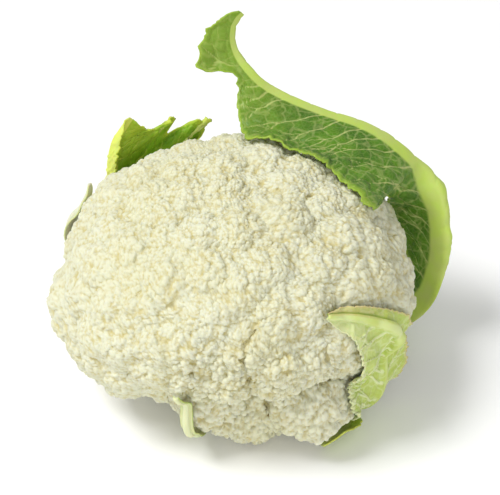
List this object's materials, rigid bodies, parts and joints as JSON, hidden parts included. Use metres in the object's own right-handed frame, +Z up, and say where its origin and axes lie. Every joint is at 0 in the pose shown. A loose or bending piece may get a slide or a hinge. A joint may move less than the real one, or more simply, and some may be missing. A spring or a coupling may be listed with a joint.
{
  "type": "cauliflower",
  "caption": "Trimmed cauliflower lying on its cut stalk, with the curd of florets and a few leaves left on it, one of them arching over the head.",
  "frame": {"origin": "centre of the stalk's cut face, on the surface that the head rests on", "axes": "+Z up, -Y towards the viewer of the picture, +X to the viewer's right"},
  "size_m": [0.2157, 0.1661, 0.1822],
  "materials": {
    "curd": "matte, granular, creamy white",
    "stalk": "satin, pale green",
    "leaf_green": "satin, waxy green with pale veins",
    "leaf_light_green": "satin, light green with pale veins",
    "leaf_cream": "satin, cream to pale green"
  },
  "bodies": {
    "root": {"curd": "curd", "stalk": "stalk", "leaf_right": "leaf_green", "leaf_back_left": "leaf_light_green", "leaf_front_right": "leaf_light_green", "leaf_low_right": "leaf_light_green", "leaf_left_tip": "leaf_cream", "bract_front": "leaf_cream"}
  },
  "joints": []
}
